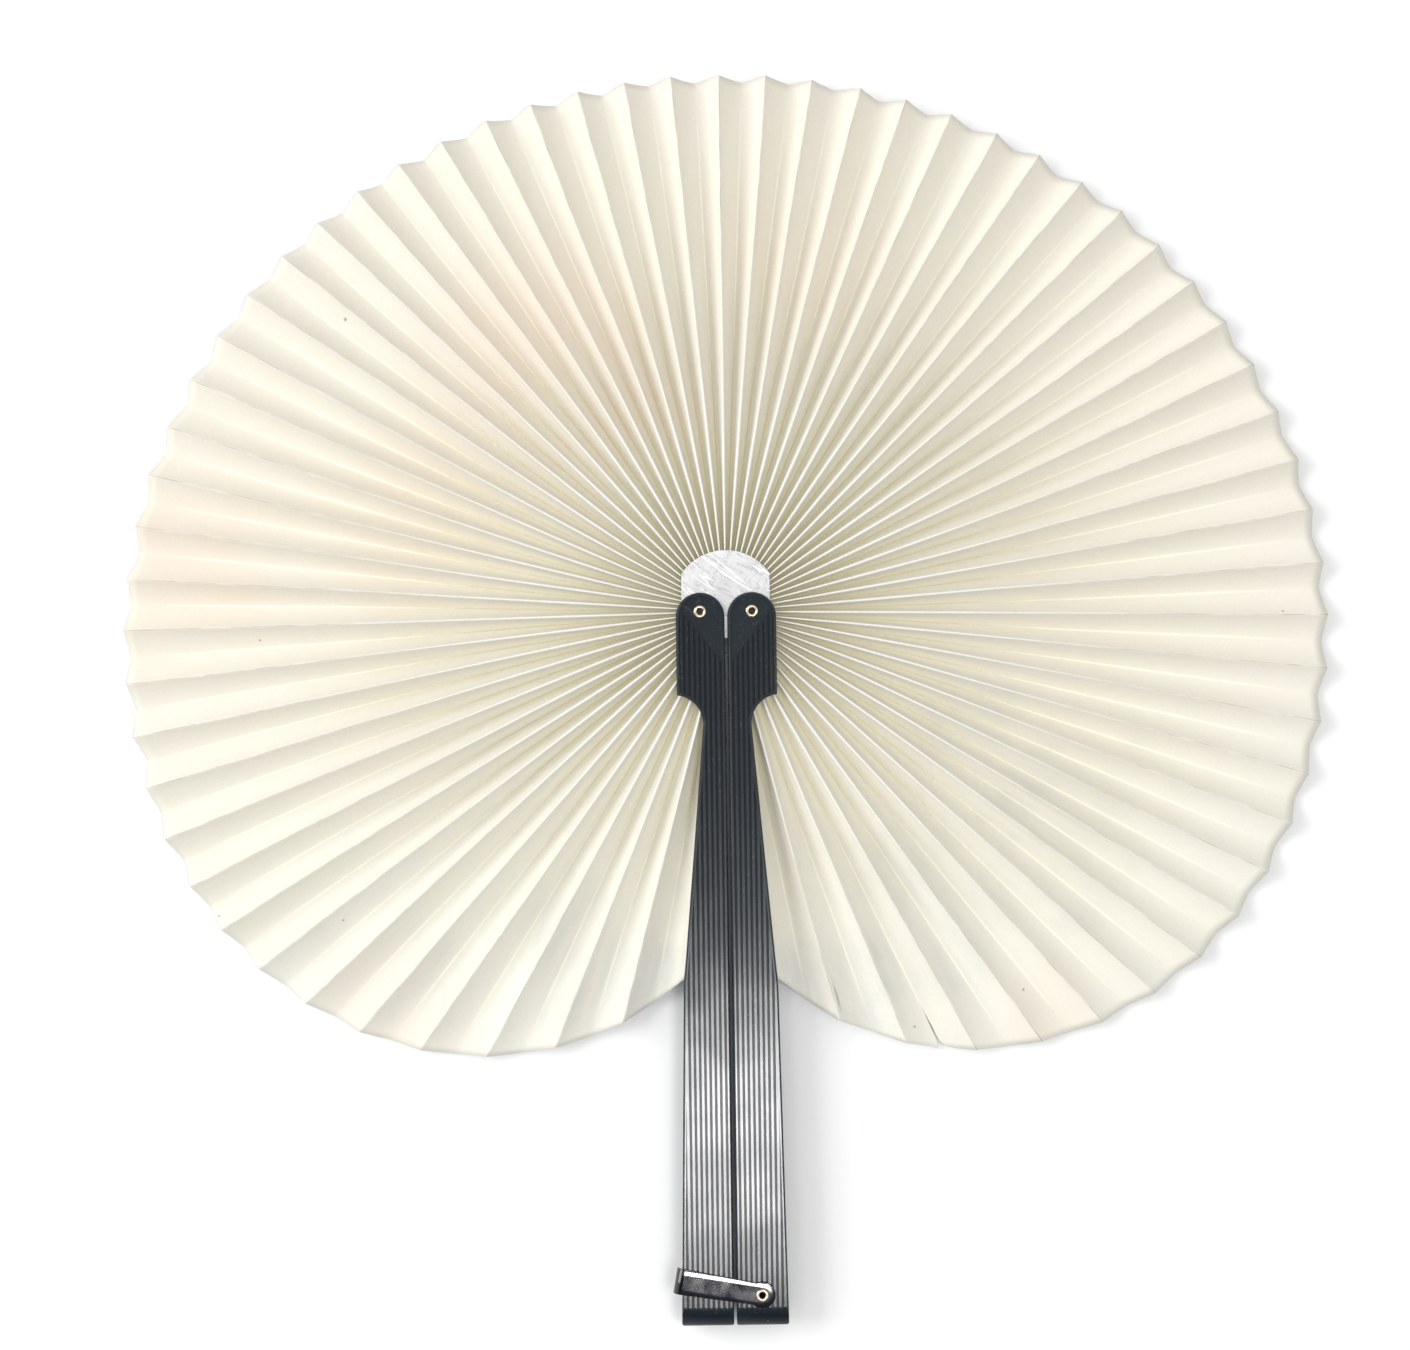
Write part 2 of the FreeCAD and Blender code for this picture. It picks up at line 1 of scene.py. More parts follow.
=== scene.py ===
import bpy
import bmesh
import math
import random
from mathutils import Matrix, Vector, noise
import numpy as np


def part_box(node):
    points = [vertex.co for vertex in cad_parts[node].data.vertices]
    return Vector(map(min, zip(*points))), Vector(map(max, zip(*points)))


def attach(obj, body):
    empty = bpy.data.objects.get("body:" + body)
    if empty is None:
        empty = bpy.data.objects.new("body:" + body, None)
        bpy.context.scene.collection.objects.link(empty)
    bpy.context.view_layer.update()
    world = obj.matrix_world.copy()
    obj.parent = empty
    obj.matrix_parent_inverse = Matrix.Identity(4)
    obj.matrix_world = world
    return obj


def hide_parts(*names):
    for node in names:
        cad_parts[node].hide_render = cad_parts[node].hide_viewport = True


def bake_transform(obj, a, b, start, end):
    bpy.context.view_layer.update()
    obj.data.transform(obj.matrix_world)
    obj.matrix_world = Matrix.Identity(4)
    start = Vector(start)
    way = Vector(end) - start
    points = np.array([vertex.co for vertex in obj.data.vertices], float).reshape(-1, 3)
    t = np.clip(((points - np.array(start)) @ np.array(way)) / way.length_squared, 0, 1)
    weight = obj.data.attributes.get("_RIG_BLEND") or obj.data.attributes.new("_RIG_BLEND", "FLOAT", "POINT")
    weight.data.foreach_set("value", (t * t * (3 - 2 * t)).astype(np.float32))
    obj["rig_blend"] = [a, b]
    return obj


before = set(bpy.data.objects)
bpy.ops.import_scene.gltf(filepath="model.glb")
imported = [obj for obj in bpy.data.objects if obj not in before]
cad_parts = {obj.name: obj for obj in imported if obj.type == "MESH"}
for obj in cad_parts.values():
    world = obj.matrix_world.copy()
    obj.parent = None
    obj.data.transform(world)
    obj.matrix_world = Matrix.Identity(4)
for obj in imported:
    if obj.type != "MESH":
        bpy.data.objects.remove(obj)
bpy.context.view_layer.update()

# Paper leaf. One long strip of thin cream paper, scored and folded into constant-width pleats and
# fanned round the hub. Its two ends are glued inside the arms, so each half swings round with its
# arm. The folds are tight on the crests and soft in the valleys, and the right lobe has a tear.
MM = 0.001
thread_low, thread_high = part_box("binding_thread")
HUB = (thread_low + thread_high) / 2
TOP_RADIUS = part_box("paper_leaf")[1].y - HUB.y
SIDE_RADIUS, END_RADIUS, LEAF_HUB_RADIUS = 126.5 * MM, 70.5 * MM, 7.4 * MM
SIDE_ANGLE, END_ANGLE, LOBE_CURVE = 107.0, 176.7, 2.15
PLEATS_PER_SIDE, PLEAT_WIDTH, PAPER_THICKNESS = 65, 6.4 * MM, 0.15 * MM
END_SPREAD, END_SPREAD_START = 12.25, 0.738
FLATTEST_PLEAT, RIM_CLEARANCE = 0.9 * MM, 1.0 * MM
ARM_PLEAT_LEVEL, LOBE_ANGLE, ARM_PLEAT_ANGLE = 0.7, 150.0, 175.0
VALLEY_DIP, LOBE_VALLEY_DIP = 0.9 * MM, 0.2 * MM
TEAR_ANGLE, TEAR_START, TEAR_BEND = 154.1, 92.1 * MM, 99.7 * MM
TEAR_SLIT, TEAR_MOUTH, TEAR_MOUTH_LENGTH = 0.4 * MM, 2.3 * MM, 4.14 * MM
STRIP_STEPS = (0.0, 0.03, 0.07, 0.25, 0.5, 0.75, 0.93, 0.97)
LEAF_ROWS = 60
FOLD_WANDER, PAPER_RIPPLE, TOOTH_WEAR, DIP_UNEVENNESS = 0.22 * MM, 0.10 * MM, 0.2 * MM, 0.3
LOOSE_START, LOOSE_END, GLUED_START, GLUED_END = 0.1, 0.5, 165.0, 173.0
FOLD_FIT, CREST_SAG = 0.975, 0.03
RIPPLE_START, RIPPLE_END, RIPPLE_LAST, RIPPLE_GONE = 0.15, 0.5, 160.0, 170.0
BROAD_RIPPLE, FINE_RIPPLE, TEAR_RAGGEDNESS = (55, 7), (140, 21), 0.25
CREST_ROUND, CREST_SHARE, CREST_MOST = 0.18 * MM, 0.07, 0.13
VALLEY_SOFTNESS, SOFT_START, SOFT_END = 0.75, 0.25, 0.95
CROWD_ANGLE, CROWD_SPREAD, CROWD_TURN, CROWD_START, CROWD_END = 97.0, 11.0, 0.8, 0.02, 0.16
CREAM, COOL_CREAM, OLD_CREAM = (0.855, 0.825, 0.75), (0.855, 0.845, 0.775), (0.84, 0.80, 0.68)
PAINTED_LIGHT_CREAM, PAINTED_SHADE_CREAM = (0.95, 0.93, 0.85), (0.75, 0.73, 0.65)
PAINTED_GLOW, NO_GLOW = (0.060, 0.055, 0.034), (0.0, 0.0, 0.0)
PAINTED_VALLEY_LIGHT, PEACH = (0.96, 0.94, 0.80), (0.88, 0.74, 0.62)
GREY_SMUDGE, DIRT_AND_SHADE_BROWN, CREST_WORN_AND_LIT = (0.66, 0.67, 0.64), (0.42, 0.37, 0.31), (0.93, 0.92, 0.865)

# Stains in millimetres from the middle of the fan: place, radius and strength
PEACH_STAINS = (
    (-18, 56, 26, 0.5), (-40, 78, 30, 0.28), (-112, 30, 26, 0.4), (-60, 40, 36, 0.16),
    (20, 95, 28, 0.12), (66, -66, 16, 0.25), (-72, -62, 22, 0.2),
)
GREY_SMUDGES = (
    (-32, -54, 22, 0.5), (-16, -60, 12, 0.6), (-66, -50, 20, 0.35), (40, -44, 30, 0.45),
    (22, -58, 18, 0.5), (70, -28, 22, 0.35), (52, -8, 20, 0.3),
)
DARK_SPECKS = (
    (-78.6, 80.6, 0.55), (-97.5, 13.8, 0.35), (116.3, 16.8, 0.35), (-106.9, -43.9, 0.35),
    (-80.9, -45.0, 0.35), (61.2, -61.6, 0.4), (38.3, -69.0, 0.4), (-42.9, -73.6, 0.5),
)
# The crease's middle, its turn, and half its length and width
CREASE_PLACE, CREASE_TURN, CREASE_SIZE = (22.1, -62.4, 0.0), math.radians(-75.0), (4.4, 0.3, 1.0)

leaf_random = random.Random(5)
fold_traits = {
    number: [leaf_random.uniform(-1, 1) for trait in range(3)]
    for number in range(-PLEATS_PER_SIDE, PLEATS_PER_SIDE + 1)
}


def eased(value, start, end):
    share = min(max((value - start) / (end - start), 0.0), 1.0)
    return share * share * (3 - 2 * share)


def fold_angle(number):
    """Angle of a fold, in degrees clockwise from the top fold. Even numbers are crests."""
    share = abs(number) / PLEATS_PER_SIDE
    late = max((share - END_SPREAD_START) / (1 - END_SPREAD_START), 0.0)
    return math.copysign((END_ANGLE - END_SPREAD) * share + END_SPREAD * late**2, number)


def rim_radius(angle):
    if angle <= SIDE_ANGLE:
        turn = math.pi * angle / SIDE_ANGLE
        return TOP_RADIUS + (SIDE_RADIUS - TOP_RADIUS) * (1 - math.cos(turn)) / 2
    share = (angle - SIDE_ANGLE) / (END_ANGLE - SIDE_ANGLE)
    return SIDE_RADIUS - (SIDE_RADIUS - END_RADIUS) * share**LOBE_CURVE


def half_pitch(number):
    """Angle between neighbouring folds, in radians."""
    far = min(abs(number) + 1, PLEATS_PER_SIDE)
    near = max(abs(number) - 1, 0) if number else 0
    return math.radians(fold_angle(far) - fold_angle(near)) / (far - near)


def fold_line(number, share):
    """Radius, angle and height of the paper on a fold, at a share of the fold's length."""
    crest = number % 2 == 0
    off_top = abs(fold_angle(number))
    wander, tooth, lift = fold_traits[number]
    dip = VALLEY_DIP + (LOBE_VALLEY_DIP - VALLEY_DIP) * eased(off_top, SIDE_ANGLE, LOBE_ANGLE)
    rim = rim_radius(off_top) - TOOTH_WEAR * abs(tooth)
    if not crest:
        rim -= dip * (1 + DIP_UNEVENNESS * tooth)
    radius = LEAF_HUB_RADIUS + (rim - LEAF_HUB_RADIUS) * share

    def pleat_height(distance):
        return math.sqrt(max(PLEAT_WIDTH**2 - (distance * half_pitch(number)) ** 2, FLATTEST_PLEAT**2))

    height = pleat_height(radius)
    hub_low = HUB.z - pleat_height(LEAF_HUB_RADIUS) / 2
    resting = hub_low - (hub_low - RIM_CLEARANCE) * share + height / 2
    level = ARM_PLEAT_LEVEL * eased(off_top, LOBE_ANGLE, ARM_PLEAT_ANGLE)
    centre = resting + (HUB.z - resting) * level
    half = height / 2 * (FOLD_FIT - CREST_SAG * share * (1 + lift))
    free = eased(share, LOOSE_START, LOOSE_END) * (1 - eased(off_top, GLUED_START, GLUED_END))
    sway = noise.noise(Vector((number * 3.7, share * 2.6, 0.5))) + 0.4 * wander
    turn = fold_angle(number) + math.degrees(FOLD_WANDER * free * sway / radius)
    # Beside the right arm's head the folds crowd together in threes
    crowd = math.exp(-(((turn - CROWD_ANGLE) / CROWD_SPREAD) ** 2))
    crowd *= 1 - eased(share, CROWD_START, CROWD_END)
    turn += CROWD_TURN * crowd * math.sin(math.pi * number / 3)
    return radius, turn, centre + half if crest else centre - half


def tear_shift(radius, side):
    """Degrees by which one edge of the tear stands off its fold."""
    slit = TEAR_SLIT * eased(radius, TEAR_START, TEAR_BEND)
    mouth = (TEAR_MOUTH - TEAR_SLIT) * eased(radius, TEAR_BEND, TEAR_BEND + TEAR_MOUTH_LENGTH)
    ragged = TEAR_RAGGEDNESS * slit * noise.noise(Vector((radius * 900, side, 4.0)))
    return math.degrees(side * ((slit + mouth) / 2 + ragged) / radius)


TEAR_FOLD = min(range(PLEATS_PER_SIDE + 1), key=lambda number: abs(fold_angle(number) - TEAR_ANGLE))


def off_crest(step, pitch):
    """Shares of a pleat side's width and height, from its crest, at a step down the paper."""
    rounded = min(max(CREST_ROUND / pitch, CREST_SHARE), CREST_MOST)
    if step < CREST_SHARE:
        return rounded * step / CREST_SHARE, step**2 / CREST_SHARE
    return rounded + (1 - rounded) * (step - CREST_SHARE) / (1 - CREST_SHARE), step


def leaf_point(number, step, side, share):
    """Middle of the paper in one column, at a share of the way from the hub to the rim."""
    radius, turn, height = fold_line(number, share)
    if step > 0:
        far_radius, far_turn, far_height = fold_line(number + 1, share)
        pitch = radius * math.radians(abs(far_turn - turn))
        across, down = off_crest(step if number % 2 == 0 else 1 - step, pitch)
        low, high = min(height, far_height), max(height, far_height)
        softness = 1 + VALLEY_SOFTNESS * eased(share, SOFT_START, SOFT_END)
        height = low + (high - low) * (1 - down) ** softness
        radius += (far_radius - radius) * step
        turn += (far_turn - turn) * (across if number % 2 == 0 else 1 - across)
    if side:
        turn += tear_shift(radius, side)
    elif number in (TEAR_FOLD - 1, TEAR_FOLD) and step > 0:
        near, edge = (step, -1) if number < TEAR_FOLD else (1 - step, 1)
        turn += tear_shift(radius, edge) * near**3
    angle = math.radians(turn)
    ripple = noise.noise(Vector((radius * BROAD_RIPPLE[0], angle * BROAD_RIPPLE[1], 2.0)))
    ripple += 0.5 * noise.noise(Vector((radius * FINE_RIPPLE[0], angle * FINE_RIPPLE[1], 6.0)))
    ripple *= eased(share, RIPPLE_START, RIPPLE_END) * (1 - eased(abs(turn), RIPPLE_LAST, RIPPLE_GONE))
    height += PAPER_RIPPLE * ripple
    return Vector((HUB.x + radius * math.sin(angle), HUB.y + radius * math.cos(angle), height))


def leaf_columns():
    """(fold, step to the next fold, side of the tear) of every column of points, left to right."""
    columns = []
    for number in range(-PLEATS_PER_SIDE, PLEATS_PER_SIDE):
        for step in STRIP_STEPS:
            torn = number == TEAR_FOLD and step == 0
            columns += [(number, step, side) for side in ((-1, 1) if torn else (0,))]
    return columns + [(PLEATS_PER_SIDE, 0.0, 0)]


def make_paper_leaf():
    """The whole sheet as two meshes, one for each half, that meet on the top fold."""
    columns = leaf_columns()
    rows = [row / LEAF_ROWS for row in range(LEAF_ROWS + 1)]
    sheet = bmesh.new()
    grid = []
    for column in columns:
        number, step, side = column
        points = [leaf_point(*column, share) for share in rows]
        if side == 1:
            # Inside the start of the tear, both of its edges are one
            kept = [grid[-1][row] for row, point in enumerate(points)
                    if (point - HUB).to_2d().length <= TEAR_START]
            points = points[len(kept):]
        else:
            kept = []
        grid.append(kept + [sheet.verts.new(point) for point in points])
    facts = {}
    for (number, step, side), line in zip(columns, grid):
        for vertex, share in zip(line, rows):
            facts[vertex] = (number + step, share)
    halves = {"left": [], "right": []}
    for place in range(len(columns) - 1):
        if columns[place + 1][2] == 1:
            continue
        here, there = grid[place], grid[place + 1]
        half = halves["left" if columns[place][0] < 0 else "right"]
        for row in range(LEAF_ROWS):
            half.append(sheet.faces.new((here[row], here[row + 1], there[row + 1], there[row])))
    sheet.normal_update()
    return {side: thicken(f"paper_leaf_{side}", faces, facts) for side, faces in halves.items()}


def thicken(name, faces, facts):
    """Gives some faces of the sheet the paper's thickness. Two UV maps keep each point's place, one
    as folds from the top and share of the length, the other as millimetres over the open fan."""
    over, under, places = {}, {}, []
    for face in faces:
        for vertex in face.verts:
            if vertex not in over:
                over[vertex] = len(places)
                under[vertex] = len(places) + 1
                places += [(vertex.co + vertex.normal * PAPER_THICKNESS / 2, vertex),
                           (vertex.co - vertex.normal * PAPER_THICKNESS / 2, vertex)]
    polygons = []
    for face in faces:
        polygons.append([over[vertex] for vertex in face.verts])
        polygons.append([under[vertex] for vertex in reversed(face.verts)])
        for loop in face.loops:
            if loop.edge.is_boundary:
                first, second = loop.vert, loop.link_loop_next.vert
                polygons.append([over[second], over[first], under[first], under[second]])
    mesh = bpy.data.meshes.new(name)
    mesh.from_pydata([place for place, vertex in places], [], polygons)
    pleat_map = mesh.uv_layers.new(name="pleat")
    flat_map = mesh.uv_layers.new(name="flat")
    for loop in mesh.loops:
        place, vertex = places[loop.vertex_index]
        pleat_map.data[loop.index].uv = facts[vertex]
        flat_map.data[loop.index].uv = (vertex.co.x / MM, vertex.co.y / MM)
    mesh.shade_smooth()
    leaf_half = bpy.data.objects.new(name, mesh)
    bpy.context.collection.objects.link(leaf_half)
    return leaf_half


def add_node(tree, kind, inputs=None, **settings):
    """A node with its settings. Each input is a value, or a socket to link."""
    made = tree.nodes.new(kind)
    for name, value in settings.items():
        setattr(made, name, value)
    for name, value in (inputs or {}).items():
        if isinstance(value, bpy.types.NodeSocket):
            tree.links.new(value, made.inputs[name])
        else:
            made.inputs[name].default_value = value
    return made


def math_node(tree, operation, *values):
    made = add_node(tree, "ShaderNodeMath", dict(enumerate(values)), operation=operation)
    return made.outputs[0]


def tinted(tree, factor, under, over, kind="MIX"):
    """Lays one colour over another by a factor."""
    colours = [colour if isinstance(colour, bpy.types.NodeSocket) else (*colour, 1.0)
               for colour in (under, over)]
    inputs = {0: factor, 6: colours[0], 7: colours[1]}
    made = add_node(tree, "ShaderNodeMix", inputs, data_type="RGBA", blend_type=kind)
    return made.outputs[2]


def ranged(tree, value, start, end, low=0.0, high=1.0, smooth=True):
    """Maps a value from start..end to low..high and holds it there."""
    inputs = {"Value": value, 1: start, 2: end, 3: low, 4: high}
    kind = "SMOOTHSTEP" if smooth else "LINEAR"
    return add_node(tree, "ShaderNodeMapRange", inputs, interpolation_type=kind).outputs[0]


def make_group(name, inputs, output):
    """An empty node group with float or vector inputs and one float output."""
    group = bpy.data.node_groups.new(name, "ShaderNodeTree")
    for label, value in inputs.items():
        kind = "NodeSocketVector" if label in ("Vector", "Centre") else "NodeSocketFloat"
        socket = group.interface.new_socket(name=label, in_out="INPUT", socket_type=kind)
        if value is not None:
            socket.default_value = value
    group.interface.new_socket(name=output, in_out="OUTPUT", socket_type="NodeSocketFloat")
    given = group.nodes.new("NodeGroupInput").outputs
    result = group.nodes.new("NodeGroupOutput").inputs[output]
    return group, given, result


def use_group(tree, group, **inputs):
    made = tree.nodes.new("ShaderNodeGroup")
    made.node_tree = group
    for name, value in inputs.items():
        if isinstance(value, bpy.types.NodeSocket):
            tree.links.new(value, made.inputs[name])
        else:
            made.inputs[name].default_value = value
    return made.outputs[0]


def make_mottle():
    """Soft clouds with finer ones in them, from 0 to 1."""
    group, given, result = make_group("mottle", {"Vector": None, "Scale": 1.0, "Contrast": 1.0}, "Mask")
    cloud = add_node(group, "ShaderNodeTexNoise",
                     {"Vector": given["Vector"], "Scale": given["Scale"], "Detail": 2.0, "Roughness": 0.55})
    centred = math_node(group, "SUBTRACT", cloud.outputs["Fac"], 0.5)
    stretched = math_node(group, "MULTIPLY", centred, given["Contrast"])
    value = add_node(group, "ShaderNodeMath", {0: stretched, 1: 0.5}, operation="ADD", use_clamp=True)
    group.links.new(value.outputs[0], result)
    return group


def make_blotch():
    """One stain with a soft edge round a centre, which a cloud pushes in and out."""
    inputs = {"Vector": None, "Centre": None, "Radius": 10.0, "Unevenness": 0.3, "Cloud": 0.5}
    group, given, result = make_group("blotch", inputs, "Mask")
    away = add_node(group, "ShaderNodeVectorMath", {0: given["Vector"], 1: given["Centre"]},
                    operation="DISTANCE").outputs["Value"]
    share = math_node(group, "DIVIDE", away, given["Radius"])
    uneven = math_node(group, "MULTIPLY", math_node(group, "SUBTRACT", given["Cloud"], 0.5),
                       given["Unevenness"])
    edge = math_node(group, "ADD", share, math_node(group, "MULTIPLY", uneven, 4.0))
    group.links.new(ranged(group, edge, 1.0, 0.15), result)
    return group


def make_specks():
    """Small round specks, scattered in some of the cells of a pattern."""
    inputs = {"Vector": None, "Scale": 1.0, "Size": 0.1, "Share": 0.2}
    group, given, result = make_group("specks", inputs, "Mask")
    cells = add_node(group, "ShaderNodeTexVoronoi", {"Vector": given["Vector"], "Scale": given["Scale"]})
    close = math_node(group, "LESS_THAN", cells.outputs["Distance"], given["Size"])
    tone = add_node(group, "ShaderNodeSeparateColor", {"Color": cells.outputs["Color"]}).outputs["Red"]
    chosen = math_node(group, "LESS_THAN", tone, given["Share"])
    group.links.new(math_node(group, "MULTIPLY", close, chosen), result)
    return group


def make_scratches():
    """Long fine scratches along one direction, broken up by clouds."""
    inputs = {"Vector": None, "Angle": 0.0, "Scale": 1.0, "Stretch": 12.0, "Width": 0.03, "Share": 0.5}
    group, given, result = make_group("scratches", inputs, "Mask")
    turned = add_node(group, "ShaderNodeVectorRotate", {"Vector": given["Vector"], "Angle": given["Angle"]},
                      rotation_type="Z_AXIS").outputs[0]
    across = math_node(group, "DIVIDE", given["Scale"], given["Stretch"])
    sizes = add_node(group, "ShaderNodeCombineXYZ", {"X": across, "Y": given["Scale"], "Z": given["Scale"]})
    drawn = add_node(group, "ShaderNodeVectorMath", {0: turned, 1: sizes.outputs[0]}, operation="MULTIPLY")
    fibre = add_node(group, "ShaderNodeTexNoise",
                     {"Vector": drawn.outputs[0], "Scale": 1.0, "Detail": 2.0, "Distortion": 0.3})
    off = math_node(group, "ABSOLUTE", math_node(group, "SUBTRACT", fibre.outputs["Fac"], 0.5))
    line = math_node(group, "LESS_THAN", off, given["Width"])
    cloud = add_node(group, "ShaderNodeTexNoise", {"Vector": given["Vector"], "Scale": given["Scale"]})
    there = math_node(group, "LESS_THAN", cloud.outputs["Fac"], given["Share"])
    group.links.new(math_node(group, "MULTIPLY", line, there), result)
    return group


MOTTLE, BLOTCH, SPECKS, SCRATCHES = make_mottle(), make_blotch(), make_specks(), make_scratches()


def new_material(name, **values):
    """A material and its Principled shader, with plain values on the shader's own sockets."""
    material = bpy.data.materials.new(name)
    material.use_nodes = True
    shader = material.node_tree.nodes["Principled BSDF"]
    for socket, value in values.items():
        shader.inputs[socket.replace("_", " ")].default_value = value
    return material, material.node_tree, shader


def make_cream_paper():
    material, tree, shader = new_material(
        "cream_paper", Roughness=0.82, Specular_IOR_Level=0.25, Emission_Strength=1.0,
    )
    pleat = add_node(tree, "ShaderNodeUVMap", uv_map="pleat").outputs[0]
    flat = add_node(tree, "ShaderNodeUVMap", uv_map="flat").outputs[0]
    parts = add_node(tree, "ShaderNodeSeparateXYZ", {0: pleat})
    fold, share = parts.outputs["X"], parts.outputs["Y"]
    # From 0 on a crest to 1 in a valley
    valley = math_node(tree, "PINGPONG", fold, 1.0)
    places = add_node(tree, "ShaderNodeSeparateXYZ", {0: flat})
    # Aged cream in clouds, cooler towards the lobes, and a little different on each pleat side
    age = use_group(tree, MOTTLE, Vector=flat, Scale=0.018, Contrast=2.2)
    colour = tinted(tree, ranged(tree, places.outputs["Y"], 30.0, -60.0), CREAM, COOL_CREAM)
    colour = tinted(tree, math_node(tree, "MULTIPLY", age, 0.45), colour, OLD_CREAM)
    sides = add_node(tree, "ShaderNodeTexWhiteNoise", {"W": math_node(tree, "FLOOR", fold)},
                     noise_dimensions="1D").outputs["Value"]
    colour = tinted(tree, math_node(tree, "MULTIPLY", sides, 0.3), colour, OLD_CREAM)
    # Streaks that follow the folds, by which stains and smudges thin out
    along = add_node(tree, "ShaderNodeCombineXYZ", {"X": math_node(tree, "MULTIPLY", fold, 1.7),
                                                    "Y": math_node(tree, "MULTIPLY", share, 5.0)})
    streaks = use_group(tree, MOTTLE, Vector=along.outputs[0], Scale=1.0, Contrast=2.6)
    clouds = add_node(tree, "ShaderNodeTexNoise", {"Vector": flat, "Scale": 0.055, "Detail": 2.0})
    cloud = clouds.outputs["Fac"]
    for x, y, radius, strength in PEACH_STAINS:
        stain = use_group(tree, BLOTCH, Vector=flat, Centre=(x, y, 0), Radius=radius, Cloud=cloud)
        colour = tinted(tree, math_node(tree, "MULTIPLY", stain, strength), colour, PEACH)
    for x, y, radius, strength in GREY_SMUDGES:
        smudge = use_group(tree, BLOTCH, Vector=flat, Centre=(x, y, 0), Radius=radius, Cloud=cloud,
                           Unevenness=0.6)
        smudge = math_node(tree, "MULTIPLY", smudge, math_node(tree, "MULTIPLY", streaks, strength))
        colour = tinted(tree, smudge, colour, GREY_SMUDGE)
    # Towards the hub the close-set pleats let light through each other, and this is painted in: the
    # valleys are painted lighter, the sides by the crests darker, and the valleys get a faint emission
    painted_light_and_shade = tinted(tree, ranged(tree, valley, 0.15, 0.85), PAINTED_SHADE_CREAM, PAINTED_LIGHT_CREAM)
    colour = tinted(tree, ranged(tree, share, 0.6, 0.15), colour, painted_light_and_shade)
    # Painted light: a faint emission in the valleys near the hub, for light shining through the paper
    painted_glow_mask = math_node(tree, "MULTIPLY", ranged(tree, valley, 0.05, 0.7), ranged(tree, share, 0.55, 0.15))
    painted_glow = tinted(tree, painted_glow_mask, NO_GLOW, PAINTED_GLOW)
    # Crests near the hub painted whiter, partly wear and partly a painted highlight on their rounded
    # tops, and a thin dark line painted on the crests further out, in patches
    width = ranged(tree, share, 0.1, 0.6, 0.08, 0.025)
    off_edge = math_node(tree, "SUBTRACT", valley, width)
    worn_and_lit = math_node(tree, "MULTIPLY", ranged(tree, off_edge, 0.02, -0.01), ranged(tree, share, 0.7, 0.3))
    colour = tinted(tree, worn_and_lit, colour, CREST_WORN_AND_LIT)
    dark_crest_line = math_node(tree, "MULTIPLY", ranged(tree, valley, 0.025, 0.005), ranged(tree, share, 0.4, 0.75))
    patchy = use_group(tree, MOTTLE, Vector=flat, Scale=0.15, Contrast=3.0)
    dark_crest_line = math_node(tree, "MULTIPLY", dark_crest_line, math_node(tree, "MULTIPLY", patchy, 0.7))
    colour = tinted(tree, dark_crest_line, colour, DIRT_AND_SHADE_BROWN)
    # A pale yellow line of painted light in each valley, for the light that the folded paper lets
    # through and bounces into the fold
    painted_valley_light = math_node(tree, "MULTIPLY", ranged(tree, valley, 0.92, 0.98), ranged(tree, share, 1.0, 0.8))
    colour = tinted(tree, math_node(tree, "MULTIPLY", painted_valley_light, 0.9), colour, PAINTED_VALLEY_LIGHT)
    for x, y, radius in DARK_SPECKS:
        speck = use_group(tree, BLOTCH, Vector=flat, Centre=(x, y, 0), Radius=radius, Unevenness=0.0)
        colour = tinted(tree, speck, colour, DIRT_AND_SHADE_BROWN)
    # One short crease in the right lobe, painted as a dark line of shade
    bent = add_node(tree, "ShaderNodeMapping", vector_type="TEXTURE", inputs={
        "Vector": flat, "Location": CREASE_PLACE, "Rotation": (0, 0, CREASE_TURN), "Scale": CREASE_SIZE,
    }).outputs[0]
    crease = use_group(tree, BLOTCH, Vector=bent, Centre=(0, 0, 0), Radius=1.0, Unevenness=0.0)
    colour = tinted(tree, math_node(tree, "MULTIPLY", crease, 0.8), colour, DIRT_AND_SHADE_BROWN)
    dust = use_group(tree, SPECKS, Vector=flat, Scale=0.09, Size=0.013, Share=0.12)
    colour = tinted(tree, math_node(tree, "MULTIPLY", dust, 0.4), colour, DIRT_AND_SHADE_BROWN)
    fibre = add_node(tree, "ShaderNodeTexNoise",
                     {"Vector": flat, "Scale": 1.6, "Detail": 2.0, "Roughness": 0.7})
    grain = ranged(tree, fibre.outputs["Fac"], 0.3, 0.7, 0.98, 1.02, smooth=False)
    grain_colour = add_node(tree, "ShaderNodeCombineColor", {0: grain, 1: grain, 2: grain}).outputs[0]
    colour = tinted(tree, 1.0, colour, grain_colour, "MULTIPLY")
    crumple = add_node(tree, "ShaderNodeTexNoise", {"Vector": flat, "Scale": 0.16, "Detail": 1.0})
    relief = math_node(tree, "ADD", math_node(tree, "MULTIPLY", fibre.outputs["Fac"], 0.12),
                       math_node(tree, "MULTIPLY", crumple.outputs["Fac"], 0.9))
    bump = add_node(tree, "ShaderNodeBump", {"Strength": 0.35, "Distance": 0.25 * MM, "Height": relief})
    tree.links.new(colour, shader.inputs["Base Color"])
    tree.links.new(painted_glow, shader.inputs["Emission Color"])
    material.cycles.emission_sampling = "NONE"
    tree.links.new(ranged(tree, fibre.outputs["Fac"], 0.3, 0.7, 0.74, 0.9), shader.inputs["Roughness"])
    tree.links.new(bump.outputs[0], shader.inputs["Normal"])
    return material


